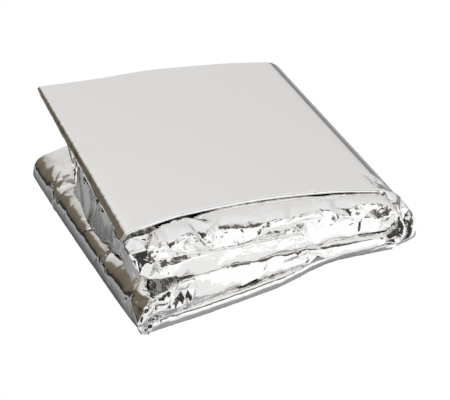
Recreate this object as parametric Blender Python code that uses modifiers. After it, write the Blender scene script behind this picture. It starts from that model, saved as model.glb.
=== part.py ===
"""Folded emergency foil blanket, as one sheet.

The sheet is first folded in two along the packet's front, so that it is a band
of two layers whose cut edges lie at the back.  The band is then folded back and
forth along X: a base on the ground, a cover leaf on it, and past the hinge on
the right an under leaf and the top leaf of the raised upper half.  The under
leaf's free end droops over the lower half at the left.

Frame: X to the right, Y to the back, Z up, in metres.  The origin is under the
middle of the packet's footprint, on the surface that it lies on.
"""

import math
from collections import namedtuple

import bmesh
import bpy

MM = 0.001

# ---- Driving dimensions, in millimetres ------------------------------------
SHEET_THICKNESS = 1.0
PACKET_WIDTH = 128.0      # between the top leaf's left edge and the hinge
PACKET_DEPTH = 114.0      # of the top leaf, between its front fold and its back edge
PANEL_HEIGHT = 42.0       # top leaf's height at its front left corner
PANEL_FALL = 0.173        # how fast it falls towards the hinge
PANEL_RISE = 0.011        # how fast it rises towards the back
PANEL_FRONT = 15.5        # how far its front fold lies behind the packet's front
CROWN_HEIGHT = 1.8        # how far its middle stands above its rim
CROWN_AT_EDGES = 0.6      # share of the crown that is left along front and back

MIDDLE_SHARE = 0.45       # where the middle section lies, from front to back
FOLD_STEPS = 6            # faces round each front fold
ROWS_PER_LAYER = 11       # faces from a front fold to the back edge
ROW_CROWDING = 1.5        # above 1, rows stand closer together near the front
FOLD_NOSE = 0.45          # depth of a front fold's rounding, as a share of its loft
NOSE_MAXIMUM = 3.6        # fat folds are blunt: their nose is no deeper
CREASE_ANGLE = math.radians(50)  # sharper turns than this show as creases

# A leaf is one pass of the band between two turns.  Its stations run from left
# to right.  x and z place the reference layer, loft is the distance from it to
# the other layer, and three values stand for the front, middle and back
# sections.  z is measured from the leaf's datum, which is the ground or the
# panel's sloping surface, and the other layer stands off towards loft_side.
# The back values hold from the share settled on, where one is given.
# slant is how far the upper layer stays behind the lower one at the front fold.
Leaf = namedtuple("Leaf", "name datum reference loft_side settled columns stations")
Station = namedtuple("Station", "x z loft slant y_front y_back")

TOP = Leaf("top leaf", "panel", "outer", -1, None, 14, (
    Station((0.5, 0.5, 0.5), (-1.7, -1.4, -1.2), (1.5, 1.5, 1.5), 0.0, 16.7, 129.5),
    Station((4.5, 3.6, 3.0), (-0.6, -0.5, -0.5), (1.8, 1.7, 1.6), 0.0, 17.8, 129.6),
    Station((30., 30., 30.), (-0.5, -0.5, -0.5), (2.0, 1.8, 1.6), 0.0, 22.4, 130.5),
    Station((64., 64., 64.), (-0.5, -0.5, -0.5), (2.0, 1.8, 1.7), 0.0, 23.4, 132.0),
    Station((98., 98., 98.), (-0.5, -0.5, -0.5), (2.0, 1.9, 1.8), 0.0, 21.4, 131.4),
    Station((123., 123., 123.), (-0.5, -0.5, -0.5), (3.0, 2.6, 2.4), 0.0, 17.0, 129.7),
))
UNDER = Leaf("under leaf", "panel", "inner", -1, 0.72, 13, (
    Station((8.5, 8.5, 8.5), (-4.4, -4.2, -4.0), (14.2, 3.0, 1.7), 1.0, 7.0, 128.0),
    Station((22., 22., 24.), (-4.3, -4.2, -4.0), (10.4, 3.0, 1.7), 5.0, 7.6, 128.5),
    Station((43., 43., 45.), (-4.3, -4.2, -4.0), (8.6, 2.8, 1.8), 6.0, 10.0, 129.0),
    Station((64., 64., 64.), (-4.3, -4.2, -4.0), (7.2, 2.6, 1.9), 5.0, 8.6, 129.5),
    Station((90., 90., 90.), (-4.5, -4.3, -4.2), (6.0, 2.6, 2.1), 6.0, 9.6, 129.0),
    Station((115., 115., 115.), (-5.2, -5.0, -5.0), (3.6, 2.6, 2.6), 2.0, 6.0, 128.0),
))
COVER = Leaf("cover leaf", "ground", "outer", -1, None, 14, (
    Station((6.5, 3.0, -1.5), (19.2, 15.2, 11.2), (9.4, 4.4, 2.6), 0.0, -0.6, 118.0),
    Station((22., 22., 22.), (19.2, 15.4, 12.0), (10.4, 4.8, 3.0), 1.0, 0.4, 124.0),
    Station((45., 45., 45.), (18.2, 14.8, 12.0), (9.6, 4.8, 3.0), 4.0, 1.6, 124.5),
    Station((70., 70., 70.), (16.0, 13.4, 11.4), (8.4, 4.6, 3.0), 5.0, 1.0, 124.5),
    Station((95., 95., 95.), (13.2, 11.6, 10.2), (6.8, 4.0, 2.8), 4.0, -1.0, 124.5),
    Station((115., 115., 115.), (9.8, 9.2, 8.6), (4.0, 3.2, 2.8), 1.0, -1.5, 124.0),
))
BASE = Leaf("base leaf", "ground", "outer", +1, None, 11, (
    Station((2.0, -2.5, -6.5), (0.5, 0.5, 0.5), (6.2, 2.8, 2.2), 0.0, -2.2, 112.5),
    Station((30., 30., 30.), (0.5, 0.5, 0.5), (5.8, 3.4, 2.8), 0.0, -2.2, 123.0),
    Station((64., 64., 64.), (0.5, 0.5, 0.5), (5.2, 3.4, 2.8), 0.0, -1.0, 124.0),
    Station((90., 90., 90.), (0.5, 0.5, 0.5), (4.2, 3.2, 2.8), 0.0, 3.0, 124.5),
    Station((123., 123., 123.), (0.5, 0.5, 0.5), (3.4, 3.0, 2.6), 0.0, -2.0, 125.0),
))

# A turn is a smooth bend from one leaf to the next.  Its lengths say how far
# each layer runs on in its old direction and comes from its new one.
# The front fold has come to the new leaf's place by front_by, a share of the bend.
Turn = namedtuple(
    "Turn", "name columns front_by outer_leaving outer_arriving inner_leaving inner_arriving")
OUTER_HINGE = Turn("outer hinge", 11, 0.7, (14.0, 14.0, 14.0), (14.0, 14.0, 14.0),
                   (9.6, 9.6, 9.6), (9.6, 9.6, 9.6))
LEFT_FOLD = Turn("left fold", 10, 1.0, (4.5, 6.5, 7.5), (11.0, 11.0, 10.0),
                 (1.6, 2.6, 3.4), (5.0, 6.0, 6.0))
INNER_HINGE = Turn("inner hinge", 8, 1.0, (2.2, 2.2, 2.2), (2.2, 2.2, 2.2),
                   (6.8, 6.8, 6.8), (6.8, 6.8, 6.8))

# The free end bends away from its leaf.  x and z are where its inner layer
# stops, the outer layer stops a loft away, and the headings are the ways in
# which the two then point, in degrees up from the right.
FreeEnd = namedtuple("FreeEnd", "name columns x z loft heading outer_heading reach")
DROOP = FreeEnd("drooping end", 8, (-0.6, -1.6, -0.9), (22.2, 17.4, 38.5), (3.2, 2.8, 1.7),
                (-95.0, -98.0, -187.0), (-150.0, -98.0, -187.0), (6.0, 9.0, 3.0))

# The band's path, from the free end of the top leaf to the drooping one.
PATH = ((TOP, +1), (OUTER_HINGE, 0), (BASE, -1), (LEFT_FOLD, 0),
        (COVER, +1), (INNER_HINGE, 0), (UNDER, -1), (DROOP, 0))


def mix(first, second, share):
    return first + (second - first) * share


def ease(share):
    share = max(0.0, min(1.0, share))
    return share * share * (3.0 - 2.0 * share)


def over_depth(values, back_share, settled=None):
    """A front, middle and back value, blended at a share of the way back."""
    front, middle, back = values
    if settled is None:
        bow = middle - mix(front, back, MIDDLE_SHARE)
        parabola = back_share * (1.0 - back_share) / (MIDDLE_SHARE * (1.0 - MIDDLE_SHARE))
        return mix(front, back, back_share) + bow * parabola
    if back_share < MIDDLE_SHARE:
        return mix(front, middle, ease(back_share / MIDDLE_SHARE))
    return mix(middle, back, ease((back_share - MIDDLE_SHARE) / (settled - MIDDLE_SHARE)))


def curve_through(values, share):
    """Smooth curve through evenly spaced values, at a share of its length."""
    last = len(values) - 1
    span = min(int(share * last), last - 1)
    t = share * last - span

    def slope(i):
        before = values[max(i, 1)] - values[max(i, 1) - 1]
        after = values[min(i, last - 1) + 1] - values[min(i, last - 1)]
        return 2 * before * after / (before + after) if before * after > 0 else 0.0

    return ((2 * t**3 - 3 * t**2 + 1) * values[span] + (t**3 - 2 * t**2 + t) * slope(span)
            + (3 * t**2 - 2 * t**3) * values[span + 1] + (t**3 - t**2) * slope(span + 1))


def bend(start, leaving, arriving, end, share):
    """Point of the cubic curve that leaves and arrives along two handles."""
    weights = ((1 - share)**3, 3 * share * (1 - share)**2, 3 * share**2 * (1 - share), share**3)
    corners = (start, (start[0] + leaving[0], start[1] + leaving[1]),
               (end[0] - arriving[0], end[1] - arriving[1]), end)
    return tuple(sum(w * corner[axis] for w, corner in zip(weights, corners)) for axis in (0, 1))


def direction(start, end, length):
    scale = length / math.dist(start, end)
    return ((end[0] - start[0]) * scale, (end[1] - start[1]) * scale)


def panel_height(x, y):
    """Height of the upper half's sloping, slightly crowned top."""
    across = math.sin(math.pi * max(0.0, min(1.0, x / PACKET_WIDTH)))
    along = math.sin(math.pi * max(0.0, min(1.0, (y - PANEL_FRONT) / PACKET_DEPTH)))
    crown = CROWN_HEIGHT * across * mix(CROWN_AT_EDGES, 1.0, along)
    return PANEL_HEIGHT - PANEL_FALL * x + PANEL_RISE * (y - PANEL_FRONT) + crown


def edges_at(leaf, share):
    """Where the leaf's outer and inner layer begin, in front, and where both end."""
    front, slant, back = (curve_through([getattr(row, name) for row in leaf.stations], share)
                          for name in ("y_front", "slant", "y_back"))
    outer_is_upper = (leaf.reference == "outer") == (leaf.loft_side < 0)
    return (front + slant, front, back) if outer_is_upper else (front, front + slant, back)


def leaf_points(leaf, facing, back_share):
    """Outer and inner layer of a leaf, as (x, z), in the order of the path."""
    reference, other = [], []
    for i in range(leaf.columns + 1):
        share = i / leaf.columns
        x, z, loft = (curve_through([over_depth(getattr(row, name), back_share, settled)
                                     for row in leaf.stations], share)
                      for name, settled in (("x", leaf.settled), ("z", leaf.settled),
                                            ("loft", leaf.settled and 1.0)))
        if leaf.datum == "panel":
            front, _, back = edges_at(leaf, share)
            z += panel_height(x, mix(front, back, back_share))
        reference.append((x, z))
        other.append((x, z + leaf.loft_side * loft))
    layers = (reference, other) if leaf.reference == "outer" else (other, reference)
    return tuple(layer[::facing] for layer in layers)


def turn_points(turn, before, after, back_share):
    layers = []
    handles = ((turn.outer_leaving, turn.outer_arriving), (turn.inner_leaving, turn.inner_arriving))
    for old, new, (leaving, arriving) in zip(before, after, handles):
        leave = direction(old[-2], old[-1], over_depth(leaving, back_share))
        arrive = direction(new[0], new[1], over_depth(arriving, back_share))
        layers.append([bend(old[-1], leave, arrive, new[0], i / turn.columns)
                       for i in range(1, turn.columns)])
    return layers


def free_end_points(end, before, back_share, settled):
    x, z, heading, outer_heading, reach = (
        over_depth(values, back_share, settled)
        for values in (end.x, end.z, end.heading, end.outer_heading, end.reach))
    loft = over_depth(end.loft, back_share, 1.0)
    way = (math.cos(math.radians(heading)), math.sin(math.radians(heading)))
    layers = []
    for old, offset, course in zip(before, (loft, 0.0), (outer_heading, heading)):
        stop = (x - way[1] * offset, z + way[0] * offset)
        length = min(reach, math.dist(old[-1], stop) * 0.4)
        leave = direction(old[-2], old[-1], math.dist(old[-1], stop) * 0.4)
        arrive = (math.cos(math.radians(course)) * length, math.sin(math.radians(course)) * length)
        layers.append([bend(old[-1], leave, arrive, stop, i / end.columns)
                       for i in range(1, end.columns + 1)])
    return layers


def band_section(back_share):
    """Both layers of the whole band at a share of the way from front to back."""
    leaves = {step: leaf_points(piece, facing, back_share)
              for step, (piece, facing) in enumerate(PATH) if facing}
    outer, inner = [], []
    for step, (piece, facing) in enumerate(PATH):
        if facing:
            layers = leaves[step]
        elif step + 1 < len(PATH):
            layers = turn_points(piece, leaves[step - 1], leaves[step + 1], back_share)
        else:
            layers = free_end_points(piece, leaves[step - 1], back_share, UNDER.settled)
        outer += layers[0]
        inner += layers[1]
    return outer, inner


def band_limits():
    """The limits that edges_at gives, for every column of the band."""
    limits = []
    for step, (piece, facing) in enumerate(PATH):
        if facing:
            limits += [edges_at(piece, i / piece.columns)
                       for i in range(piece.columns + 1)][::facing]
        elif step + 1 < len(PATH):
            after, after_facing = PATH[step + 1]
            start, stop = limits[-1], edges_at(after, 0.0 if after_facing > 0 else 1.0)
            for i in range(1, piece.columns):
                share = i / piece.columns
                shares = (ease(share / piece.front_by), ease(share / piece.front_by), ease(share))
                limits.append(tuple(map(mix, start, stop, shares)))
        else:
            limits += [limits[-1]] * piece.columns
    return limits


def sheet_rows():
    """The sheet's middle surface: one list of (x, y, z) for each row across it."""
    limits = band_limits()
    shares = [(i / ROWS_PER_LAYER) ** ROW_CROWDING for i in range(ROWS_PER_LAYER + 1)]
    sections = [band_section(share) for share in shares]
    front_outer, front_inner = sections[0]
    noses = [min(NOSE_MAXIMUM, FOLD_NOSE * math.dist(a, b))
             for a, b in zip(front_outer, front_inner)]

    def layer_row(points, layer, share):
        return [(x, mix(limit[layer] + SHEET_THICKNESS / 2 + nose, limit[2], share), z)
                for (x, z), limit, nose in zip(points, limits, noses)]

    rows = [layer_row(outer, 0, share) for (outer, _), share in zip(sections, shares)][::-1]
    for step in range(1, FOLD_STEPS):
        angle = math.pi * step / FOLD_STEPS
        share = (1.0 - math.cos(angle)) / 2.0
        rows.append([(mix(a[0], b[0], share),
                      mix(limit[0], limit[1], share) + SHEET_THICKNESS / 2
                      + nose * (1.0 - math.sin(angle)),
                      mix(a[1], b[1], share))
                     for a, b, limit, nose in zip(front_outer, front_inner, limits, noses)])
    rows += [layer_row(inner, 1, share) for (_, inner), share in zip(sections, shares)]
    return rows


def foil_material():
    material = bpy.data.materials.new("silver foil")
    material.use_nodes = True
    shader = material.node_tree.nodes["Principled BSDF"]
    shader.inputs["Base Color"].default_value = (0.80, 0.80, 0.79, 1.0)
    shader.inputs["Metallic"].default_value = 1.0
    shader.inputs["Roughness"].default_value = 0.12
    return material


def foil_blanket(collection):
    rows = sheet_rows()
    # Only the front fold bulges half a thickness past the sheet's middle surface.
    xs = [point[0] for row in rows for point in row]
    ys = [point[1] for row in rows for point in row]
    middle_x = (min(xs) + max(xs)) / 2
    middle_y = (min(ys) - SHEET_THICKNESS / 2 + max(ys)) / 2

    bm = bmesh.new()
    columns = len(rows[0])
    bmesh.ops.create_grid(bm, x_segments=columns - 1, y_segments=len(rows) - 1, size=1.0)
    bm.verts.ensure_lookup_table()
    for index, vertex in enumerate(bm.verts):
        x, y, z = rows[index // columns][index % columns]
        vertex.co = ((x - middle_x) * MM, (y - middle_y) * MM, z * MM)
    bm.normal_update()
    mesh = bpy.data.meshes.new("foil_blanket")
    bm.to_mesh(mesh)
    bm.free()
    mesh.shade_smooth()
    mesh.set_sharp_from_angle(angle=CREASE_ANGLE)
    mesh.materials.append(foil_material())

    blanket = bpy.data.objects.new("foil_blanket", mesh)
    collection.objects.link(blanket)
    wall = blanket.modifiers.new("sheet thickness", "SOLIDIFY")
    wall.thickness = SHEET_THICKNESS * MM
    wall.offset = 0.0
    wall.use_even_offset = True
    return blanket


def main():
    for old in list(bpy.data.objects):
        bpy.data.objects.remove(old, do_unlink=True)
    collection = bpy.data.collections.new("folded emergency foil blanket")
    bpy.context.scene.collection.children.link(collection)
    foil_blanket(collection)


main()
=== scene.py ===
"""Looks of the folded emergency foil blanket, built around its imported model.

The packet lies on a pale studio floor.  The blanket is one sheet of mirror-bright
film, so there is one piece: the film itself, with its folds, creases and crumples.
"""

import math
from collections import namedtuple

import bmesh
import bpy
import numpy as np
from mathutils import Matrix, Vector
from mathutils.geometry import delaunay_2d_cdt


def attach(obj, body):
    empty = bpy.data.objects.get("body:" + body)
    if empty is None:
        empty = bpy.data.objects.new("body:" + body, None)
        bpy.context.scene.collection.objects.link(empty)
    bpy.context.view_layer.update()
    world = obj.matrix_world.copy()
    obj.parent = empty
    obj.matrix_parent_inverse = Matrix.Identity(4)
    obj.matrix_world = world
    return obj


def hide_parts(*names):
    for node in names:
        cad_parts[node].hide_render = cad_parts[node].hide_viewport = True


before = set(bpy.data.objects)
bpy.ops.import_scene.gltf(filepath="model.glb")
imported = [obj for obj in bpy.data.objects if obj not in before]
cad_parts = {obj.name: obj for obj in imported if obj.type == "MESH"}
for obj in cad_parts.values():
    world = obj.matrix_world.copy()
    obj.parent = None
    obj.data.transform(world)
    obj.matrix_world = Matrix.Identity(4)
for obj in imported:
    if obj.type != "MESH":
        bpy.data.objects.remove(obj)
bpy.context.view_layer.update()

# ---- The camera ------------------------------------------------------------
# A long lens looks down on the packet from its front left, half a metre away and
# 30 cm up.  Its place is in metres, in the model's own frame.
CAMERA_PLACE = (-0.14573, -0.32434, 0.304)
CAMERA_TILT = 49.5        # degrees up from looking straight down
CAMERA_TURN = -25.2       # degrees to the left
PICTURE_WIDTH = 450.0     # pixels
LENS_IN_PIXELS = 984.0
SENSOR_WIDTH = 36.0       # millimetres
NEAREST_SEEN = 0.01

camera_data = bpy.data.cameras.new("camera")
camera_data.sensor_width = SENSOR_WIDTH
camera_data.lens = LENS_IN_PIXELS / PICTURE_WIDTH * SENSOR_WIDTH
camera_data.clip_start = NEAREST_SEEN
camera = bpy.data.objects.new("camera", camera_data)
camera.location = CAMERA_PLACE
camera.rotation_euler = (math.radians(CAMERA_TILT), 0.0, math.radians(CAMERA_TURN))
bpy.context.scene.collection.objects.link(camera)
bpy.context.scene.camera = camera

# ---- The film sheet --------------------------------------------------------
# One rectangle of metallised polyester film.  It is folded in two along the
# packet's front, and the two-layer band is folded back and forth along X.
# Places are in millimetres from the packet's front left corner on the floor.
MM = 0.001
ORIGIN = (61.232, 64.881)  # the model's origin, seen from that corner

PANEL_WIDTH = 128.0
PANEL_DEPTH = 114.0
PANEL_FRONT = 15.5
PANEL_HEIGHT = 42.0
PANEL_FALL = 0.173        # down for each millimetre to the right
PANEL_RISE = 0.011        # up for each millimetre back
CROWN_HEIGHT = 1.8
CROWN_AT_EDGES = 0.6      # share of the crown that is left at the front and back
MIDDLE_SHARE = 0.45       # how far back a middle value stands

# A leaf is lofted through its stations, from left to right.  A station gives its
# reference layer's x and z, in front, in the middle and at the back, and how far
# off the leaf's other layer lies.  Heights count from the panel or the ground.  The
# lower layer's front edge is at y_front, and the upper one's is slant further back.
# A leaf that settles keeps its back values from that share of the way back on.
Leaf = namedtuple("Leaf", "datum reference loft_side settled columns roundness stations")
Station = namedtuple("Station", "x z loft slant y_front y_back")

TOP = Leaf("panel", "outer", -1, None, 70, (1.0, 0.65), (
    Station((0.2, 0.3, 0.5), (-3.4, -2.7, -1.5), (1.2, 1.5, 1.5), 0.0, 16.7, 129.5),
    Station((3.6, 2.8, 2.1), (-0.75, -0.6, -0.5), (1.4, 1.6, 1.6), 0.0, 17.6, 129.6),
    Station((9.0, 9.0, 9.0), (-0.4, -0.5, -0.5), (1.5, 1.6, 1.6), 0.0, 18.6, 129.7),
    Station((30., 30., 30.), (-0.4, -0.5, -0.5), (1.5, 1.6, 1.6), 0.0, 22.4, 130.5),
    Station((64., 64., 64.), (-0.4, -0.5, -0.5), (1.5, 1.6, 1.7), 0.0, 23.4, 133.6),
    Station((98., 98., 98.), (-0.4, -0.5, -0.5), (1.4, 1.6, 1.8), 0.0, 21.4, 133.6),
    Station((123., 123., 123.), (-0.5, -0.5, -0.5), (1.2, 2.4, 2.4), 0.0, 17.0, 132.0),
))
UNDER = Leaf("panel", "inner", -1, 0.72, 110, (0.3, 0.8), (
    Station((8.5, 8.5, 8.5), (-2.2, -3.2, -4.0), (13.6, 3.0, 1.7), 4.0, 2.6, 128.0),
    Station((22., 22., 24.), (-2.0, -2.9, -4.0), (16.0, 3.0, 1.7), 7.6, 2.4, 128.5),
    Station((43., 43., 45.), (-2.0, -2.8, -4.0), (17.0, 2.8, 1.8), 9.4, 4.0, 129.0),
    Station((64., 64., 64.), (-2.0, -2.8, -4.0), (15.6, 2.6, 1.9), 7.8, 3.2, 129.5),
    Station((90., 90., 90.), (-2.0, -2.9, -4.2), (13.0, 2.6, 2.1), 10.0, 3.0, 129.0),
    Station((126., 118., 115.), (-2.0, -3.8, -5.0), (10.4, 2.6, 2.6), 6.6, 2.0, 128.0),
))
COVER = Leaf("ground", "outer", -1, None, 132, (0.4, 0.15), (
    Station((5.4, 2.6, -1.8), (14.6, 14.3, 11.6), (7.7, 4.6, 2.6), 0.0, -0.6, 118.0),
    Station((13., 13., 13.), (16.6, 14.4, 11.6), (9.8, 4.6, 2.8), 1.4, -1.0, 121.0),
    Station((22., 22., 22.), (18.8, 15.2, 12.0), (12.2, 4.8, 3.0), 3.0, -0.6, 124.0),
    Station((45., 45., 45.), (16.4, 14.6, 12.0), (10.0, 4.8, 3.0), 6.0, 1.0, 124.5),
    Station((70., 70., 70.), (14.0, 13.2, 11.4), (8.3, 4.6, 3.0), 4.4, 1.0, 124.5),
    Station((95., 95., 95.), (11.6, 11.4, 10.2), (6.8, 4.0, 2.8), 3.0, -1.0, 124.5),
    Station((115., 115., 115.), (8.6, 9.0, 8.6), (4.3, 3.2, 2.8), 1.8, -1.5, 124.0),
))
BASE = Leaf("ground", "outer", +1, None, 64, (0.8, 0.6), (
    Station((2.0, -2.5, -6.5), (0.2, 0.2, 0.2), (6.6, 3.1, 2.5), 0.0, -2.2, 112.5),
    Station((30., 30., 30.), (0.2, 0.2, 0.2), (6.2, 3.7, 3.1), 0.0, -2.2, 123.0),
    Station((64., 64., 64.), (0.2, 0.2, 0.2), (5.6, 3.7, 3.1), 0.0, -1.0, 124.0),
    Station((90., 90., 90.), (0.2, 0.2, 0.2), (4.6, 3.5, 3.1), 0.0, 3.0, 124.5),
    Station((123., 123., 123.), (0.2, 0.2, 0.2), (3.8, 3.3, 2.9), 0.0, -2.0, 125.0),
))

# A turn bends each layer from one leaf into the next, on handles of these lengths in
# front, in the middle and at the back.  Its front edge is in line with the next
# leaf's by the share front_by of the turn.
Turn = namedtuple(
    "Turn", "columns front_by outer_leaving outer_arriving inner_leaving inner_arriving")
OUTER_HINGE = Turn(26, 0.7, (14.0, 14.0, 14.0), (14.0, 14.0, 14.0),
                   (5.0, 9.6, 9.6), (4.0, 9.6, 9.6))
LEFT_FOLD = Turn(28, 1.0, (4.5, 6.5, 7.5), (10.0, 11.0, 10.0),
                 (1.6, 2.6, 3.4), (3.0, 6.0, 6.0))
INNER_HINGE = Turn(16, 1.0, (2.2, 2.2, 2.2), (2.2, 2.2, 2.2),
                   (6.8, 6.8, 6.8), (4.0, 6.8, 6.8))

# The under leaf's free end hangs down to these heights, each at its share of the way
# back, and arrives there under these headings, in degrees, on handles no longer than
# its reach.
FreeEnd = namedtuple("FreeEnd", "columns x hang loft heading outer_heading reach")
DROOP = FreeEnd(24, (-0.6, -1.6, 1.8),
                ((0.0, 26.5), (0.07, 30.0), (0.14, 30.5), (0.22, 25.0), (0.32, 18.0),
                 (0.40, 14.5), (0.47, 14.0), (0.545, 19.5), (0.60, 27.0), (0.65, 35.0),
                 (0.72, 38.5), (1.0, 38.5)),
                (3.2, 2.8, 1.7), (-95.0, -98.0, -187.0), (-150.0, -98.0, -187.0),
                (6.0, 9.0, 3.0))

# The band from the top leaf's cut end: +1 runs to the right, -1 to the left.
PATH = ((TOP, +1), (OUTER_HINGE, 0), (BASE, -1), (LEFT_FOLD, 0),
        (COVER, +1), (INNER_HINGE, 0), (UNDER, -1), (DROOP, 0))

FOLD_NOSE = 0.45          # depth of the front fold, as a share of the gap it spans
NOSE_MAXIMUM = 3.6
NOSE_STEPS = 16
LAYER_STEPS = 60
STEP_CROWDING = 1.5       # draws a layer's steps towards the front
END_HANDLE = 0.4          # share of the way to the free end


def mix(first, second, share):
    """From the first value to the second, by a share."""
    return first + (second - first) * share


def ease(share):
    """A share that starts and stops softly."""
    share = np.clip(share, 0.0, 1.0)
    return share * share * (3.0 - 2.0 * share)


def over_depth(values, shares, settled=None):
    """A front, middle and back value, blended at shares of the way back."""
    front, middle, back = values
    if settled is None:
        bow = middle - mix(front, back, MIDDLE_SHARE)
        return mix(front, back, shares) + bow * shares * (1.0 - shares) / (
            MIDDLE_SHARE * (1.0 - MIDDLE_SHARE))
    return np.where(shares < MIDDLE_SHARE, mix(front, middle, ease(shares / MIDDLE_SHARE)),
                    mix(middle, back, ease((shares - MIDDLE_SHARE) / (settled - MIDDLE_SHARE))))


def curves_through(values, shares):
    """Smooth curves through evenly spaced values: one row for each curve."""
    values = np.atleast_2d(values)
    last = values.shape[1] - 1
    steps = np.diff(values, axis=1)
    before = steps[:, np.maximum(np.arange(last + 1) - 1, 0)]
    after = steps[:, np.minimum(np.arange(last + 1), last - 1)]
    product = before * after
    slopes = np.where(product > 0, 2 * product / np.where(product > 0, before + after, 1.0), 0.0)
    span = np.minimum((shares * last).astype(int), last - 1)
    t = shares * last - span
    return ((2 * t**3 - 3 * t**2 + 1) * values[:, span] + (t**3 - 2 * t**2 + t) * slopes[:, span]
            + (3 * t**2 - 2 * t**3) * values[:, span + 1] + (t**3 - t**2) * slopes[:, span + 1])


def panel_height(x, y):
    """Height of the upper half's sloping, slightly crowned top."""
    across = np.sin(np.pi * np.clip(x / PANEL_WIDTH, 0.0, 1.0))
    along = np.sin(np.pi * np.clip((y - PANEL_FRONT) / PANEL_DEPTH, 0.0, 1.0))
    crown = CROWN_HEIGHT * across * mix(CROWN_AT_EDGES, 1.0, along)
    return PANEL_HEIGHT - PANEL_FALL * x + PANEL_RISE * (y - PANEL_FRONT) + crown


def edges_at(leaf, shares):
    """Where a leaf's outer and inner layer begin, in front, and where both end."""
    front, slant, back = (curves_through([getattr(row, name) for row in leaf.stations], shares)[0]
                          for name in ("y_front", "slant", "y_back"))
    outer_is_upper = (leaf.reference == "outer") == (leaf.loft_side < 0)
    return np.stack((front + slant, front, back) if outer_is_upper
                    else (front, front + slant, back), axis=1)


def leaf_layers(leaf, facing, depths):
    """Outer and inner layer of a leaf: depth, column, then x and z."""
    along = np.linspace(0.0, 1.0, leaf.columns + 1)
    x, z, loft = (
        curves_through(np.stack([over_depth(getattr(row, name), depths, settled)
                                 for row in leaf.stations], axis=1), along)
        for name, settled in (("x", leaf.settled), ("z", leaf.settled),
                              ("loft", leaf.settled and 1.0)))
    if leaf.datum == "panel":
        front, _, back = edges_at(leaf, along).T
        z = z + panel_height(x, mix(front, back, depths[:, None]))
    reference = np.stack((x, z), axis=2)
    other = np.stack((x, z + leaf.loft_side * loft), axis=2)
    layers = (reference, other) if leaf.reference == "outer" else (other, reference)
    return [layer[:, ::facing] for layer in layers]


def bend(start, leaving, arriving, end, shares):
    """Cubic curves that leave and arrive along two handles."""
    s = shares[None, :, None]
    start, leaving, arriving, end = (v[:, None, :] for v in (start, leaving, arriving, end))
    return ((1 - s)**3 * start + 3 * s * (1 - s)**2 * (start + leaving)
            + 3 * s**2 * (1 - s) * (end - arriving) + s**3 * end)


def handle(start, end, length):
    """Handles that carry on the way from one row of points to the next."""
    run = end - start
    return run / np.linalg.norm(run, axis=1)[:, None] * np.reshape(length, (-1, 1))


def turn_layers(turn, before, after, depths):
    """Outer and inner layer of a turn between two leaves."""
    shares = np.arange(1, turn.columns) / turn.columns
    handles = ((turn.outer_leaving, turn.outer_arriving), (turn.inner_leaving, turn.inner_arriving))
    return [bend(old[:, -1], handle(old[:, -2], old[:, -1], over_depth(leaving, depths)),
                 handle(new[:, 0], new[:, 1], over_depth(arriving, depths)), new[:, 0], shares)
            for old, new, (leaving, arriving) in zip(before, after, handles)]


def free_end_layers(end, before, depths, settled):
    """Outer and inner layer of the free end that hangs from a leaf."""
    x, heading, outer_heading, reach = (
        over_depth(values, depths, settled)
        for values in (end.x, end.heading, end.outer_heading, end.reach))
    z = np.interp(depths, *zip(*end.hang))
    loft = over_depth(end.loft, depths, 1.0)
    way = np.radians(heading)
    shares = np.arange(1, end.columns + 1) / end.columns
    layers = []
    for old, offset, course in zip(before, (loft, 0.0), (outer_heading, heading)):
        stop = np.stack((x - np.sin(way) * offset, z + np.cos(way) * offset), axis=1)
        distance = np.linalg.norm(stop - old[:, -1], axis=1) * END_HANDLE
        arrive = np.minimum(reach, distance)[:, None] * np.stack(
            (np.cos(np.radians(course)), np.sin(np.radians(course))), axis=1)
        layers.append(bend(old[:, -1], handle(old[:, -2], old[:, -1], distance),
                           arrive, stop, shares))
    return layers


def band_layers(depths):
    """Both layers of the whole band: depth, column, then x and z."""
    leaves = {step: leaf_layers(piece, facing, depths)
              for step, (piece, facing) in enumerate(PATH) if facing}
    parts = []
    for step, (piece, facing) in enumerate(PATH):
        if facing:
            parts.append(leaves[step])
        elif step + 1 < len(PATH):
            parts.append(turn_layers(piece, leaves[step - 1], leaves[step + 1], depths))
        else:
            parts.append(free_end_layers(piece, leaves[step - 1], depths, UNDER.settled))
    return [np.concatenate([part[layer] for part in parts], axis=1) for layer in (0, 1)]


def band_limits():
    """The limits that edges_at gives, for every column of the band."""
    limits = []
    for step, (piece, facing) in enumerate(PATH):
        if facing:
            limits += list(edges_at(piece, np.linspace(0.0, 1.0, piece.columns + 1))[::facing])
        elif step + 1 < len(PATH):
            after, after_facing = PATH[step + 1]
            start = limits[-1]
            stop = edges_at(after, np.array([0.0 if after_facing > 0 else 1.0]))[0]
            for share in np.arange(1, piece.columns) / piece.columns:
                early = ease(share / piece.front_by)
                limits.append(mix(start, stop, np.array([early, early, ease(share)])))
        else:
            limits += [limits[-1]] * piece.columns
    return np.array(limits)


def band_roundness():
    """How round the front fold's outer and inner half is: 1 is round, near 0 a square box."""
    values = []
    for step, (piece, facing) in enumerate(PATH):
        if facing:
            values += [np.array(piece.roundness)] * (piece.columns + 1)
        else:
            count = piece.columns - 1 if step + 1 < len(PATH) else piece.columns
            before = values[-1]
            after = np.array(PATH[step + 1][0].roundness) if step + 1 < len(PATH) else before
            values += [mix(before, after, i / (count + 1)) for i in range(1, count + 1)]
    return np.array(values).T


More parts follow.
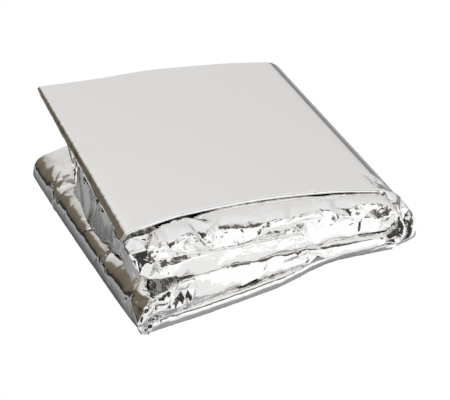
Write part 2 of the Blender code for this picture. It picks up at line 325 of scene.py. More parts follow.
def smooth_sheet():
    """The sheet's middle surface before it creases: column, place across it, then x, y and z."""
    depths = (np.arange(LAYER_STEPS + 1) / LAYER_STEPS) ** STEP_CROWDING
    outer, inner = band_layers(depths)
    limits = band_limits()
    outer_roundness, inner_roundness = band_roundness()
    nose = np.minimum(NOSE_MAXIMUM, FOLD_NOSE * np.linalg.norm(outer[0] - inner[0], axis=1))

    def layer(points, side):
        front = limits[:, side] + nose
        y = mix(front[None, :], limits[None, :, 2], depths[:, None])
        return np.stack((points[..., 0], y, points[..., 1]), axis=2)

    fold = []
    for step in range(1, NOSE_STEPS):
        angle = math.pi * step / NOSE_STEPS
        roundness = outer_roundness if 2 * step < NOSE_STEPS else inner_roundness
        share = (1.0 - math.cos(angle)) / 2.0
        y = mix(limits[:, 0], limits[:, 1], share) + nose * (1.0 - math.sin(angle) ** roundness)
        fold.append(np.stack((mix(outer[0, :, 0], inner[0, :, 0], share), y,
                              mix(outer[0, :, 1], inner[0, :, 1], share)), axis=1))
    rows = np.concatenate((layer(outer, 0)[::-1], np.array(fold), layer(inner, 1)))
    return rows.transpose(1, 0, 2)


# Distances across the sheet from the front fold, where its rows lie.  They are
# true near the fold, and stretched to the cut edge's straight line beyond it.
TRUE_ACROSS = 30.0
FLAT_ACROSS = 122.0
FINE_STEP = 0.35
FINE_ACROSS = 16.0
STEP_GROWTH = 1.13
COARSE_STEP = 5.0
LAST_CELL = 1.001         # keeps a look-up within the last cell of a row
SHORTEST = 1e-9


def across_rows():
    """Distances of the sheet's rows from the front fold, closest together near it."""
    rows, step = [0.0], FINE_STEP
    while rows[-1] < FLAT_ACROSS:
        rows.append(rows[-1] + step)
        if rows[-1] > FINE_ACROSS:
            step = min(step * STEP_GROWTH, COARSE_STEP)
    rows = np.array(rows) * FLAT_ACROSS / rows[-1]
    return np.concatenate((-rows[:0:-1], rows))


def resample(sheet, rows):
    """The sheet with its columns resampled at distances across it from the front fold."""
    middle = LAYER_STEPS + NOSE_STEPS // 2
    result = np.zeros((len(sheet), len(rows), 3))
    for index, column in enumerate(sheet):
        steps = np.linalg.norm(np.diff(column, axis=0), axis=1)
        along = np.concatenate(((0.0,), np.cumsum(steps)))
        along -= along[middle]
        known = np.array([-FLAT_ACROSS, -TRUE_ACROSS, TRUE_ACROSS, FLAT_ACROSS])
        real = np.array([along[0], -TRUE_ACROSS, TRUE_ACROSS, along[-1]])
        places = np.interp(rows, known, real)
        result[index] = np.stack([np.interp(places, along, column[:, axis]) for axis in range(3)],
                                 axis=1)
    return result


rows_at = across_rows()
sheet_surface = resample(smooth_sheet(), rows_at)
column_runs = np.linalg.norm(np.diff(sheet_surface, axis=0), axis=2).mean(axis=1)
columns_at = np.concatenate(((0.0,), np.cumsum(column_runs)))
FLAT_LENGTH = columns_at[-1]


def grid_normals(surface):
    """Unit normals that point out of the fold, away from its other layer."""
    across = np.gradient(surface, axis=1)
    along = np.gradient(surface, axis=0)
    normals = np.cross(across, along)
    return normals / np.maximum(np.linalg.norm(normals, axis=2), SHORTEST)[..., None]


def looked_up(grid, places):
    """Values of a grid over the sheet at places along and across it."""
    i, j = (np.clip(np.interp(places[:, axis], lines, np.arange(len(lines))),
                    0, len(lines) - LAST_CELL)
            for axis, lines in enumerate((columns_at, rows_at)))
    i0, j0 = i.astype(int), j.astype(int)
    u, v = (i - i0)[:, None], (j - j0)[:, None]
    return (grid[i0, j0] * (1 - u) * (1 - v) + grid[i0 + 1, j0] * u * (1 - v)
            + grid[i0, j0 + 1] * (1 - u) * v + grid[i0 + 1, j0 + 1] * u * v)


# How the film creases, zone by zone.  Places are in millimetres along the band
# from the top leaf's cut end, and across it from the front fold.  A zone has a net
# of crease points this far apart, halved so many times; ridge and crinkle are how
# far its points stand out, and facet is how flat the film lies between them.
Zone = namedtuple("Zone", "name along across spacing halvings ridge crinkle facet")
ZONES = (
    Zone("top front fold", (0, 127), (-5, 7), 4.0, 3, 0.0, 0.0, 0.0),
    Zone("top left rim", (0, 9), (-122, -3), 5.0, 3, 0.03, 0.02, 0.0),
    Zone("recess face", (148, 164), (1.5, 9), 5.0, 3, 0.0, 0.02, 0.9),
    Zone("right corner", (127, 163), (-12, 26), 5.0, 3, 0.45, 0.12, 0.8),
    Zone("front roll", (163, 285), (-9, 14), 8.0, 3, 0.05, 0.02, 0.15),
    Zone("left wall", (274, 291), (-122, -6), 9.0, 3, 0.02, 0.01, 0.0),
    Zone("front left face", (299, 321), (-5, 3), 6.0, 3, 0.0, 0.02, 0.9),
    Zone("left corner", (285, 303), (-16, 9), 5.5, 3, 0.3, 0.12, 0.8),
    Zone("deep crease", (512, 544), (-4, 3), 7.0, 3, 0.0, 0.02, 0.8),
    Zone("web corner face", (539, 551), (1.5, 9), 6.0, 3, 0.0, 0.02, 0.9),
    Zone("cover front", (303, 414), (-12, 8), 9.0, 3, 0.1, 0.03, 0.35),
    Zone("cover strip", (303, 345), (-36, -12), 9.0, 3, 0.2, 0.05, 0.7),
    Zone("inner hinge front", (414, 428), (-9, 14), 5.5, 3, 0.3, 0.12, 0.8),
    Zone("ledge", (428, 535), (9, 19), 8.0, 2, 0.02, 0.01, 0.3),
    Zone("under front left", (480, 535), (-10, 9), 5.5, 3, 0.15, 0.05, 0.8),
    Zone("under front", (428, 480), (-10, 9), 7.0, 3, 0.15, 0.05, 0.7),
    Zone("web corner", (535, 570), (-10, 26), 5.0, 3, 0.25, 0.12, 0.9),
    Zone("web", (535, 570), (26, 90), 8.0, 3, 0.2, 0.05, 0.8),
    Zone("left slope", (291, 303), (-122, -16), 12.0, 3, 0.05, 0.02, 0.12),
    Zone("outer hinge top", (116, 143), (-122, -13), 4.0, 2, 0.0, 0.0, 0.0),
    Zone("outer hinge", (120, 165), (-122, 122), 9.0, 2, 0.15, 0.04, 0.4),
    Zone("inner hinge", (412, 428), (-122, 122), 7.0, 2, 0.1, 0.05, 0.5),
    Zone("left fold inside", (280, 306), (0, 122), 8.0, 2, 0.1, 0.05, 0.5),
    Zone("droop inside", (535, 570), (-122, 122), 7.0, 2, 0.1, 0.05, 0.5),
    Zone("top leaf", (0, 127), (-122, 0), 9.0, 2, 0.0, 0.0, 0.0),
    Zone("elsewhere", (0, 999), (-122, 122), 11.0, 1, 0.1, 0.03, 0.5),
)
# Creases, listed one by one.  Each is a line of points: how far along the band, how far
# across it, and how far the film stands out there from its smooth form.
CREASES = (
    # pleats across the left slope
    ((293.0, -41.3, 0.6), (295.6, -39.7, 0.4), (298.5, -40.3, 0.1)),
    ((292.9, -44.4, -0.2), (295.9, -42.5, -0.3), (298.6, -42.9, 0)),
    ((292.2, -39.2, 0), (295.4, -36.8, 0)),
    ((293.9, -95.3, 0.5), (296.3, -94.2, 0.3)),
    ((293.3, -99.4, -0.1), (296.3, -97.9, -0.1)),
    ((293.5, -91.9, 0), (296.4, -90.5, 0)),
    # the deep crease along the under leaf's face: its lip, its bottom and its lower bank
    ((541.6, 2.7, 0.2), (538.8, 2.7, 0.4), (533.5, 2.8, 0.5), (527.9, 2.5, 0.4), (522.7, 2.2, 0.4),
     (514.8, 0.5, 0.3), (506.4, 0.5, 0.3), (499.5, 1.3, 0.3), (492.7, 1.9, 0.3), (485.4, 1.4, 0.3),
     (474.3, 0.9, 0.2)),
    ((541.9, 1.7, -3.1), (539.0, 1.7, -2.6), (533.7, 1.8, -1.7), (528.2, 1.6, -0.9),
     (522.9, 1.3, -0.6), (515.0, -0.3, -0.6), (506.6, -0.4, -0.7), (499.7, 0.4, -0.8),
     (492.9, 1.0, -0.7), (485.5, 0.8, -0.6), (474.5, 0.3, -0.4)),
    ((542.8, -3.3, -1.1), (538.9, -2.3, -0.5), (535.0, -1.8, 0), (530.6, -1.0, 0.2),
     (525.8, -0.4, 0.3), (519.4, -0.4, 0.3), (511.4, -1.2, 0.2), (503.1, -0.9, 0.2),
     (494.0, 0.0, 0.2), (484.7, -0.1, 0.2), (474.8, -0.8, 0.1)),
    # faint folds over the rest of the face
    ((464.6, -0.8, -0.3), (459.8, -1.3, -0.4), (452.8, -1.9, -0.3)),
    # the jagged edge where the under leaf's top turns down
    ((539.7, 7.3, -0.3), (534.6, 9.4, -0.3), (529.2, 10.0, 0.4), (523.1, 10.9, 0.9),
     (520.2, 9.7, -0.2), (516.6, 10.3, 0.1), (512.6, 10.5, 0.6), (510.9, 8.7, -0.2),
     (505.3, 7.7, 0.1), (499.8, 7.0, 0.1), (494.8, 6.3, 0), (489.2, 8.1, -0.1), (484.3, 8.3, 0.4),
     (480.4, 7.9, 0.6), (477.6, 6.8, 0), (471.9, 8.0, 0.2), (462.6, 7.9, 0.2), (456.5, 8.3, 0.2)),
    ((524.3, 8.1, 0.7), (527.3, 7.6, 0.3)),
    ((449.0, 6.1, 0.2), (444.8, 7.2, 0.3), (439.8, 7.9, 0.3), (435.5, 7.1, 0.2), (431.4, 5.7, 0.2)),
    # folds that run down from it
    ((523.2, 8.3, 0.9), (521.2, 5.6, 0.9), (519.1, 2.7, 0.5)),
    ((525.0, 7.5, -0.3), (523.3, 5.1, -0.4), (521.1, 2.6, -0.2)),
    ((516.9, 6.7, 0.6), (514.8, 2.3, 0.6)),
    ((519.0, 6.3, -0.3), (517.2, 2.5, -0.3)),
    ((532.9, 6.3, 0.5), (529.8, 4.4, 0.6)),
    ((534.6, 5.4, -0.2), (532.4, 3.2, -0.3)),
    ((494.4, 2.3, -0.3), (488.6, 4.0, -0.7), (482.3, 3.7, -0.7), (477.0, 4.2, -0.8),
     (472.9, 3.7, -0.8), (469.6, 4.3, -0.7), (466.5, 4.3, -0.8), (459.6, 4.1, -0.5)),
    ((490.0, 5.6, 0.2), (483.4, 5.2, 0.3), (476.9, 6.0, 0.3), (471.2, 5.6, 0.3), (463.4, 5.7, 0.3)),
    ((455.9, 10.5, 0.4), (453.4, 7.9, -0.9), (450.1, 5.5, -0.3)),
    ((457.0, 6.0, 0.4), (453.4, 4.1, 0.3)),
    ((451.5, 13.3, -0.3), (449.1, 10.7, -0.4), (447.4, 7.6, -0.3)),
    ((453.7, 3.2, 0.3), (448.3, 2.5, 0.3), (444.1, 1.1, 0.2)),
    ((455.8, 0.8, -0.5), (451.5, 1.1, -0.7), (446.7, 0.0, -0.5)),
    ((438.2, 5.0, -0.6), (434.6, 4.8, -0.6)),
    ((436.9, 0.2, 0.5), (431.9, 1.0, 0.6), (427.7, 2.4, 0.4)),
    ((434.4, -1.4, -0.5), (429.3, 0.3, -0.5)),
    # the under leaf's front left corner
    ((538.8, 14.4, 1), (540.8, 11.3, 1.3), (543.4, 8.7, 0.9)),
    ((540.6, 15.1, -0.7), (543.0, 12.2, -0.9), (544.6, 9.8, -0.5)),
    ((540.0, 7.0, 0.6), (544.8, 7.2, -0.5), (546.6, 4.2, -0.5), (542.3, 2.6, 0.6),
     (540.0, 7.0, 0.6)),
    ((549.2, 4.8, -0.4), (546.6, 4.2, -0.5), (546.3, 2.6, 0), (551.5, 0.2, 0.25),
     (549.2, 4.8, -0.4)),
    ((550.3, 15.5, 1.3), (550.2, 12.0, 1.6), (550.0, 8.5, 1.5), (550.0, 5.5, 0.9)),
    ((544.2, 1.6, 0.7), (542.3, -3.0, 0.7)),
    # dents under the top leaf's fold
    ((547.0, 15.5, 0.3), (543.5, 15.0, 0.3), (540.5, 15.0, 0.3)),
    ((547.0, 18.5, -1.2), (543.5, 18.5, -1.7), (540.0, 18.5, -1.2)),
    ((537.0, 16.8, 0.2), (534.5, 17.0, 0.2), (532.0, 17.3, 0.2)),
    ((537.0, 19.8, -1), (534.5, 20.0, -1.3), (532.0, 20.3, -0.8)),
    ((529.0, 18.0, 0.2), (526.0, 18.2, 0.2), (523.0, 18.5, 0.2)),
    ((529.0, 21.0, -0.8), (526.0, 21.2, -1.2), (523.0, 21.5, -0.8)),
    # the ridge along the cover's front left
    ((297.8, -4.4, 0.3), (300.9, -5.0, 0.5), (304.2, -5.3, 0.6), (309.4, -5.7, 0.6),
     (314.0, -5.9, 0.6), (319.8, -5.9, 0.5), (325.5, -5.7, 0.4), (331.8, -4.6, 0.2)),
    # streaks that run from the tip
    ((289.2, -1.1, 0.5), (293.3, 0.1, 0.5), (297.6, -2.1, 0.3)),
    ((287.7, -0.4, -0.5), (283.9, 3.7, -0.5), (299.5, 0.5, -0.3)),
    ((285.5, -0.3, 0.5), (282.4, 1.8, 0.5), (277.8, 4.0, 0.3)),
    ((282.6, -0.9, -0.4), (280.2, -0.4, -0.4), (275.8, 1.0, -0.2)),
    # folds in the cover's face below the ridge
    ((301.2, -3.5, -1.2), (306.2, -2.7, 0)),
    ((302.7, -0.0, 0), (307.3, 0.6, 1.3)),
    ((313.9, -4.0, -0.9), (311.6, -2.0, -1.3), (313.3, 2.1, 1.3), (314.7, -0.1, 0.9),
     (313.9, -4.0, -0.9)),
    ((317.3, -2.7, -1), (315.5, -0.7, -0.8), (316.3, 2.8, 0.7), (318.2, 0.7, 0.9),
     (317.3, -2.7, -1)),
    ((309.7, -2.2, 0.3), (311.9, -5.3, -0.2)),
    ((320.2, -1.3, -0.2), (319.3, 1.7, 0)),
    ((366.7, -2.5, 0.3), (371.6, -3.3, 0.3), (375.4, -3.5, 0.3)),
    ((365.4, -1.0, -0.5), (370.2, -1.3, -0.7), (374.9, -1.8, -0.5)),
    ((378.2, 0.7, -0.5), (382.3, -1.4, -0.5)),
    # the recess down the outer hinge's front
    ((139.0, 0.0, -1.5), (144.0, 0.5, -3.5), (149.0, 1.0, -4), (154.0, 1.0, -4), (158.0, 1.5, -3),
     (162.0, 2.0, -1.5)),
    ((136.0, -4.0, 0.3), (142.0, -4.5, 0.6), (148.0, -4.0, 0.9), (154.0, -4.0, 0.8),
     (160.0, -4.5, 0.4)),
    ((140.0, 6.0, 0.5), (146.0, 6.0, 0.8), (152.0, 6.5, 0.8), (158.0, 6.0, 0.6)),
    ((157.0, 4.6, 0.8), (160.0, 4.6, 1.2), (163.0, 4.4, 1)),
    # the packet's pointed front left corner
    ((281.0, 0.0, 0.2), (285.0, -0.4, 1), (288.5, -1.0, 1.6), (292.0, -2.0, 1), (296.0, -3.0, 0.5)),
)

# Broad swells of the film: place along and across, spread along and across, height.
SWELLS = (
    (304, -30, 5, 14, 1.5),   # the slope under the web
    (308, -17, 9, 9, 2.6),    # behind the ridge at the front left
    (139, 9, 8, 8, 3.0),      # in the upper half of the right corner
)
NET_JITTER = 0.3          # of a zone's spacing
HALVING_JITTER = 0.10
KEEP_APART = 0.55
ROW_SPACING = 0.87        # between the rows of a net of even triangles
SHAPED_HALVINGS = 2       # so many halvings crinkle the film, and the rest only divide it
CRINKLE_SHRINK = 0.5      # from one halving to the next
SAME_POINT = 1e-4
EDGE_MARGIN = 0.01
FLOOR_CLEARANCE = 0.15
CHANCE_WAVES = (12.9898, 78.233)     # uneven numbers that scramble a place into chance
CHANCE_SHIFT = 4.1414
CHANCE_SPREAD = 43758.5453


def chance(places, salt):
    """Values from -1 to 1 that depend only on where on the sheet a point lies."""
    wave = np.sin(np.asarray(places) @ CHANCE_WAVES + CHANCE_SHIFT * salt) * CHANCE_SPREAD
    return 2.0 * (wave - np.floor(wave)) - 1.0


def bell(places):
    """Much as chance, but bell-shaped, with a spread of 1."""
    return chance(places, 1) + chance(places, 2) + chance(places, 3)


def zones_at(places):
    """Index of the first zone that holds each place, or of the last where none does."""
    found = np.full(len(places), len(ZONES) - 1)
    for index in range(len(ZONES) - 1, -1, -1):
        (s0, s1), (t0, t1) = ZONES[index].along, ZONES[index].across
        inside = ((places[:, 0] >= s0) & (places[:, 0] <= s1)
                  & (places[:, 1] >= t0) & (places[:, 1] <= t1))
        found[inside] = index
    return found


def of_zones(found, field):
    """One of the zones' values for each place, by its zone's index."""
    return np.array([getattr(zone, field) for zone in ZONES], dtype=float)[found]


def scattered(zone):
    """An uneven net of points over a zone, with straight rows where it meets a cut edge."""
    (s0, s1), (t0, t1) = zone.along, zone.across
    s1 = min(s1, FLAT_LENGTH)
    across = np.linspace(t0, t1, max(2, round((t1 - t0) / zone.spacing / ROW_SPACING) + 1))
    along = np.linspace(s0, s1, max(2, round((s1 - s0) / zone.spacing) + 1))
    points = []
    for row, t in enumerate(across):
        shift = zone.spacing / 2 * (row % 2)
        for s in along:
            jitter = [chance((s, t), salt) * zone.spacing * NET_JITTER for salt in (1, 2)]
            s_at, t_at = s + shift + jitter[0], t + jitter[1]
            if abs(t) >= FLAT_ACROSS:
                t_at = t
            if s <= 0 or s >= FLAT_LENGTH:
                s_at = s
            points.append((min(max(s_at, 0.0), FLAT_LENGTH),
                           min(max(t_at, -FLAT_ACROSS), FLAT_ACROSS)))
    return np.array(points)


def crease_net():
    """The net's points, how far each stands out, and the edges along the crease lines."""
    points = [point[:2] for line in CREASES for point in line]
    outs = [point[2] for line in CREASES for point in line]
    edges, first = [], 0
    for line in CREASES:
        edges += [(first + i, first + i + 1) for i in range(len(line) - 1)]
        first += len(line)
    corners = [(s, t) for s in (0.0, FLAT_LENGTH) for t in (-FLAT_ACROSS, FLAT_ACROSS)]
    points += corners
    outs += [0.0] * len(corners)
    for index, zone in enumerate(ZONES):
        candidates = scattered(zone)
        kept = np.array(points)
        for point in candidates[zones_at(candidates) == index]:
            distance = np.abs(kept - point).max(axis=1).min()
            if distance > zone.spacing * KEEP_APART:
                kept = np.append(kept, [point], axis=0)
                points.append(tuple(point))
                outs.append(bell(point) * zone.ridge)
    return points, outs, edges


def flat_film():
    """The sheet laid flat as a net of triangles, whose points know how far they stand out."""
    points, outs, edges = crease_net()
    net_points, _, net_faces, sources, *_ = delaunay_2d_cdt(
        [Vector(point) for point in points], edges, [], 0, SAME_POINT)
    mesh = bmesh.new()
    out_layer = mesh.verts.layers.float.new("out")
    mesh.verts.layers.float_vector.new("chord")
    for point, source in zip(net_points, sources):
        vertex = mesh.verts.new((point[0], point[1], 0.0))
        vertex[out_layer] = outs[source[0]] if source else 0.0
    mesh.verts.ensure_lookup_table()
    for face in net_faces:
        mesh.faces.new([mesh.verts[i] for i in face])
    return mesh


def places_of(vertices):
    """Places on the flat sheet: along the band and across it."""
    return np.array([vertex.co[:2] for vertex in vertices])


def set_chords(mesh, layer, halving):
    """Note each point's place on its flat facet, nearer the smooth sheet in smooth zones."""
    places = places_of(mesh.verts)
    chords = looked_up(sheet_surface, places)
    if halving:
        coarse = np.array([vertex[layer] for vertex in mesh.verts])
        chords = mix(chords, coarse, of_zones(zones_at(places), "facet")[:, None])
    for vertex, place in zip(mesh.verts, chords):
        vertex[layer] = place


def crinkle(vertices, layer, halving):
    """Shift the new points a little along the sheet, and let them stand out or in."""
    places = places_of(vertices)
    found = zones_at(places)
    size = of_zones(found, "spacing") * (of_zones(found, "facet") > 0) * 0.5 ** halving
    inside = ((np.abs(places[:, 1]) < FLAT_ACROSS - EDGE_MARGIN)
              & (places[:, 0] > EDGE_MARGIN) & (places[:, 0] < FLAT_LENGTH - EDGE_MARGIN))
    moves = np.stack((chance(places, 4), chance(places, 5)), axis=1) * (
        size * inside * HALVING_JITTER)[:, None]
    outs = bell(places) * of_zones(found, "crinkle") * CRINKLE_SHRINK ** halving
    for vertex, move, out in zip(vertices, moves, outs):
        vertex.co.x += move[0]
        vertex.co.y += move[1]
        vertex[layer] += out


film_mesh = flat_film()
out_layer = film_mesh.verts.layers.float["out"]
chord_layer = film_mesh.verts.layers.float_vector["chord"]
for halving in range(max(zone.halvings for zone in ZONES)):
    shaped = halving < SHAPED_HALVINGS
    if shaped:
        set_chords(film_mesh, chord_layer, halving)
    old = set(film_mesh.verts)
    found = zones_at(places_of(film_mesh.verts))
    halvings = dict(zip(film_mesh.verts, of_zones(found, "halvings")))
    bmesh.ops.subdivide_edges(
        film_mesh, cuts=1, use_grid_fill=True,
        edges=[edge for edge in film_mesh.edges if min(halvings[v] for v in edge.verts) > halving])
    if shaped:
        crinkle([vertex for vertex in film_mesh.verts if vertex not in old], out_layer, halving)
bmesh.ops.triangulate(film_mesh, faces=film_mesh.faces[:])
bmesh.ops.reverse_faces(film_mesh, faces=film_mesh.faces[:])

film_layer = film_mesh.loops.layers.uv.new("film")
for face in film_mesh.faces:
    face.smooth = True
    for loop in face.loops:
        loop[film_layer].uv = (loop.vert.co.x * MM, loop.vert.co.y * MM)

# The flat net is folded into the packet: each point goes to its place on the smooth
# sheet or on its own flat facet, and out from there by its creases and swells.
places = places_of(film_mesh.verts)
chords = np.array([vertex[chord_layer] for vertex in film_mesh.verts])
out = np.array([vertex[out_layer] for vertex in film_mesh.verts])
for along, across, spread_along, spread_across, height in SWELLS:
    out += height * np.exp(-((places[:, 0] - along) / spread_along) ** 2
                           - ((places[:, 1] - across) / spread_across) ** 2)
facet = of_zones(zones_at(places), "facet")[:, None]
normals = looked_up(grid_normals(sheet_surface), places)
folded = mix(looked_up(sheet_surface, places), chords, facet) + normals * out[:, None]
folded[:, 2] = np.maximum(folded[:, 2], FLOOR_CLEARANCE)
for vertex, place in zip(film_mesh.verts, folded):
    vertex.co = ((place[0] - ORIGIN[0]) * MM, (place[1] - ORIGIN[1]) * MM, place[2] * MM)

FILM_WALL = 0.2
SHARP_CREASE = math.radians(60)

# The material crinkles the film most where it is crumpled most.
crumple_layer = film_mesh.verts.layers.float.new("crumple")
for vertex, amount in zip(film_mesh.verts, facet[:, 0]):
    vertex[crumple_layer] = amount

# Sharp creases and cut edges stay crisp.
film_mesh.edges.index_update()
cut_edges = [edge.index for edge in film_mesh.edges if edge.is_boundary]
film_data = bpy.data.meshes.new("foil_sheet")
film_mesh.to_mesh(film_data)
film_mesh.free()
film_data.set_sharp_from_angle(angle=SHARP_CREASE)
for index in cut_edges:
    film_data.edges[index].use_edge_sharp = True
foil_sheet = bpy.data.objects.new("foil_sheet", film_data)
bpy.context.scene.collection.objects.link(foil_sheet)
wall = foil_sheet.modifiers.new("film wall", "SOLIDIFY")
wall.thickness = FILM_WALL * MM
wall.offset = 0.0

# Bright metal with fine flat-sided crinkles and handling marks, which are laid out
# along and across the sheet.
FILM_SILVER = (0.87, 0.865, 0.86, 1.0)
CRINKLES = (                          # cells' shape, cells in a metre, depth in metres
    ("CHEBYCHEV", 130.0, 0.00045),
    ("MANHATTAN", 430.0, 0.00009),
)
PANEL_CRUMPLE = 0.012                 # left of the crinkles where the film lies smooth
SMUDGE_SCALE = 45.0
ROUGHNESS_FROM, ROUGHNESS_TO = 0.05, 0.10


def add_node(tree, kind, **settings):
    """A new node in the tree of a material or of the world."""
    node = tree.nodes.new(kind)
    for name, value in settings.items():
        setattr(node, name, value)
    return node


def silver_film():
    film = bpy.data.materials.new("silver film")
    film.use_nodes = True
    tree = film.node_tree
    link = tree.links.new
    shader = tree.nodes["Principled BSDF"]
    shader.inputs["Base Color"].default_value = FILM_SILVER
    shader.inputs["Metallic"].default_value = 1.0
    place = add_node(tree, "ShaderNodeUVMap", uv_map="film").outputs[0]

    crumple = add_node(tree, "ShaderNodeAttribute", attribute_name="crumple")
    at_least = add_node(tree, "ShaderNodeMath", operation="MAXIMUM")
    at_least.inputs[1].default_value = PANEL_CRUMPLE
    link(crumple.outputs["Fac"], at_least.inputs[0])
    normal = None
    for metric, cells, depth in CRINKLES:
        crinkles = add_node(tree, "ShaderNodeTexVoronoi", voronoi_dimensions="2D", distance=metric)
        crinkles.inputs["Scale"].default_value = cells
        link(place, crinkles.inputs["Vector"])
        height = add_node(tree, "ShaderNodeMath", operation="MULTIPLY")
        link(crinkles.outputs["Distance"], height.inputs[0])
        link(at_least.outputs[0], height.inputs[1])
        bump = add_node(tree, "ShaderNodeBump")
        bump.inputs["Distance"].default_value = depth
        link(height.outputs[0], bump.inputs["Height"])
        if normal:
            link(normal, bump.inputs["Normal"])
        normal = bump.outputs["Normal"]
    link(normal, shader.inputs["Normal"])

    smudges = add_node(tree, "ShaderNodeTexNoise")
    smudges.inputs["Scale"].default_value = SMUDGE_SCALE
    link(place, smudges.inputs["Vector"])
    roughness = add_node(tree, "ShaderNodeMapRange")
    roughness.inputs["To Min"].default_value = ROUGHNESS_FROM
    roughness.inputs["To Max"].default_value = ROUGHNESS_TO
    link(smudges.outputs["Fac"], roughness.inputs["Value"])
    link(roughness.outputs["Result"], shader.inputs["Roughness"])
    return film


film_data.materials.append(silver_film())

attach(foil_sheet, "root")
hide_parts("foil_blanket")

# ---- The floor -------------------------------------------------------------
# A seamless sheet of matt white board, larger than the packet.  Shade is painted into
# its colour under and behind the packet, and the board shows as plain white all round.
FLOOR_SIZE = 0.5
SHADE_FROM, SHADE_TO = -0.073, -0.084      # along Y: the shade fades out between them
SHADED_BOARD = (0.28, 0.28, 0.285, 1.0)
LIT_BOARD = (0.68, 0.68, 0.68, 1.0)
BOARD_ROUGHNESS = 0.9


def white_board():
    board = bpy.data.materials.new("white board")
    board.use_nodes = True
    tree = board.node_tree
    link = tree.links.new
    shader = tree.nodes["Principled BSDF"]
    shader.inputs["Roughness"].default_value = BOARD_ROUGHNESS
    shader.inputs["Specular IOR Level"].default_value = 0.0
    place = add_node(tree, "ShaderNodeTexCoord")
    split = add_node(tree, "ShaderNodeSeparateXYZ")
    # Painted shade: a mask along Y turns the board's colour from the lit grey in front to the
    # shaded grey under and behind the packet
    shade = add_node(tree, "ShaderNodeMapRange", interpolation_type="SMOOTHSTEP")
    shade.inputs["From Min"].default_value = SHADE_FROM
    shade.inputs["From Max"].default_value = SHADE_TO
    tone = add_node(tree, "ShaderNodeMix", data_type="RGBA")
    tone.inputs["A"].default_value = SHADED_BOARD
    tone.inputs["B"].default_value = LIT_BOARD
    link(place.outputs["Object"], split.inputs[0])
    link(split.outputs["Y"], shade.inputs["Value"])
    link(shade.outputs["Result"], tone.inputs["Factor"])
    link(tone.outputs["Result"], shader.inputs["Base Color"])

    glow = add_node(tree, "ShaderNodeEmission")
    ray = add_node(tree, "ShaderNodeLightPath")
    look = add_node(tree, "ShaderNodeMixShader")
    link(ray.outputs["Is Camera Ray"], look.inputs[0])
    link(shader.outputs[0], look.inputs[1])
    link(glow.outputs[0], look.inputs[2])
    link(look.outputs[0], tree.nodes["Material Output"].inputs["Surface"])
    return board


floor_mesh = bmesh.new()
bmesh.ops.create_grid(floor_mesh, x_segments=1, y_segments=1, size=FLOOR_SIZE / 2)
floor_data = bpy.data.meshes.new("floor")
floor_mesh.to_mesh(floor_data)
floor_mesh.free()
floor_data.materials.append(white_board())
floor = bpy.data.objects.new("floor", floor_data)
bpy.context.scene.collection.objects.link(floor)

# ---- The light -------------------------------------------------------------
# A white tent over a dark room: bright overhead, grey behind, and dark bands
# low on the left and round the camera, which the mirror-bright film picks up.

# A sky fades in toward its own direction, and its stops are colours from the horizon
# at 0 to straight up at 1.
Sky = namedtuple("Sky", "name toward sharpness stops")
SKIES = (
    Sky("back", None, None, (
        (0.00, (0.20, 0.19, 0.185)), (0.06, (0.30, 0.29, 0.28)), (0.22, (0.74, 0.73, 0.72)),
        (0.45, (0.80, 0.79, 0.78)), (0.80, (0.90, 0.90, 0.90)), (1.00, (1.0, 1.0, 1.0)))),
    Sky("left", (-0.80, 0.60, 0.0), (0.35, 0.75), (
        (0.00, (0.030, 0.026, 0.022)), (0.10, (0.045, 0.038, 0.032)), (0.22, (0.14, 0.118, 0.085)),
        (0.50, (0.19, 0.16, 0.12)), (0.60, (0.62, 0.60, 0.58)), (0.75, (0.85, 0.85, 0.85)),
        (1.00, (1.0, 1.0, 1.0)))),
    Sky("front", (-0.10, -1.0, 0.0), (0.10, 0.60), (
        (0.00, (1.15, 1.15, 1.15)), (0.62, (1.15, 1.15, 1.15)), (0.68, (0.12, 0.105, 0.09)),
        (0.84, (0.12, 0.105, 0.09)), (0.92, (0.95, 0.95, 0.95)), (1.00, (1.0, 1.0, 1.0)))),
    Sky("dark corner", (-0.42, -0.90, 0.0), (0.77, 0.90), (
        (0.00, (1.1, 1.1, 1.1)), (0.10, (0.7, 0.7, 0.7)), (0.18, (0.05, 0.047, 0.044)),
        (0.84, (0.05, 0.047, 0.044)), (0.93, (0.9, 0.9, 0.9)))),
)
KEY_STRENGTH = 3.0
KEY_SIZE = 40.0           # degrees across
KEY_TURN = (40.0, 0.0, 50.0)
MIRROR_BOUNCES = 24       # between the film's facets

world = bpy.data.worlds.new("studio")
bpy.context.scene.world = world
world.use_nodes = True
world_tree = world.node_tree
world_tree.nodes.clear()
world_link = world_tree.links.new


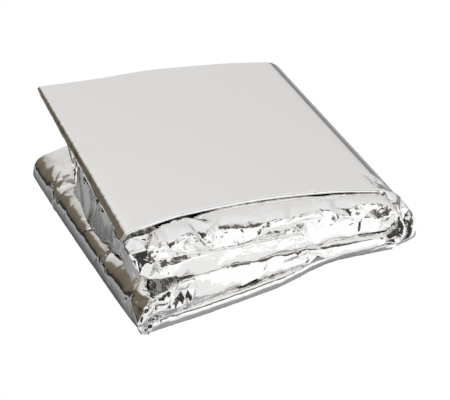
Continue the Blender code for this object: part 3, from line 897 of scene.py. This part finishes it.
def sky_colours():
    """The skies one over another, each strongest in the direction that it lies in."""
    way_out = add_node(world_tree, "ShaderNodeTexCoord").outputs["Generated"]
    split = add_node(world_tree, "ShaderNodeSeparateXYZ")
    world_link(way_out, split.inputs[0])
    colour = None
    for sky in SKIES:
        ramp = add_node(world_tree, "ShaderNodeValToRGB", label=sky.name)
        ramp.color_ramp.interpolation = "EASE"
        while len(ramp.color_ramp.elements) < len(sky.stops):
            ramp.color_ramp.elements.new(0.5)
        for element, (height, tone) in zip(ramp.color_ramp.elements, sky.stops):
            element.position = height
            element.color = (*tone, 1.0)
        world_link(split.outputs["Z"], ramp.inputs[0])
        if sky.toward is None:
            colour = ramp.outputs["Color"]
            continue
        flat = add_node(world_tree, "ShaderNodeVectorMath", operation="MULTIPLY")
        flat.inputs[1].default_value = (1.0, 1.0, 0.0)
        world_link(way_out, flat.inputs[0])
        level = add_node(world_tree, "ShaderNodeVectorMath", operation="NORMALIZE")
        world_link(flat.outputs[0], level.inputs[0])
        facing = add_node(world_tree, "ShaderNodeVectorMath", operation="DOT_PRODUCT")
        facing.inputs[1].default_value = Vector(sky.toward).normalized()
        world_link(level.outputs[0], facing.inputs[0])
        weight = add_node(world_tree, "ShaderNodeMapRange", interpolation_type="SMOOTHSTEP")
        weight.inputs["From Min"].default_value = sky.sharpness[0]
        weight.inputs["From Max"].default_value = sky.sharpness[1]
        world_link(facing.outputs["Value"], weight.inputs["Value"])
        blend = add_node(world_tree, "ShaderNodeMix", data_type="RGBA")
        world_link(weight.outputs[0], blend.inputs["Factor"])
        world_link(colour, blend.inputs["A"])
        world_link(ramp.outputs["Color"], blend.inputs["B"])
        colour = blend.outputs["Result"]
    return colour


# The camera itself sees plain white behind the packet.
backdrop = add_node(world_tree, "ShaderNodeBackground")
backdrop.inputs["Color"].default_value = (1.0, 1.0, 1.0, 1.0)
studio = add_node(world_tree, "ShaderNodeBackground")
world_link(sky_colours(), studio.inputs["Color"])
seen = add_node(world_tree, "ShaderNodeLightPath")
either = add_node(world_tree, "ShaderNodeMixShader")
world_link(seen.outputs["Is Camera Ray"], either.inputs[0])
world_link(studio.outputs[0], either.inputs[1])
world_link(backdrop.outputs[0], either.inputs[2])
world_link(either.outputs[0], add_node(world_tree, "ShaderNodeOutputWorld").inputs["Surface"])

key_data = bpy.data.lights.new("key", "SUN")
key_data.energy = KEY_STRENGTH
key_data.angle = math.radians(KEY_SIZE)
key = bpy.data.objects.new("key", key_data)
key.rotation_euler = [math.radians(angle) for angle in KEY_TURN]
key.visible_glossy = False
bpy.context.scene.collection.objects.link(key)

bpy.context.scene.view_settings.view_transform = "Standard"
bpy.context.scene.cycles.max_bounces = MIRROR_BOUNCES
bpy.context.scene.cycles.glossy_bounces = MIRROR_BOUNCES
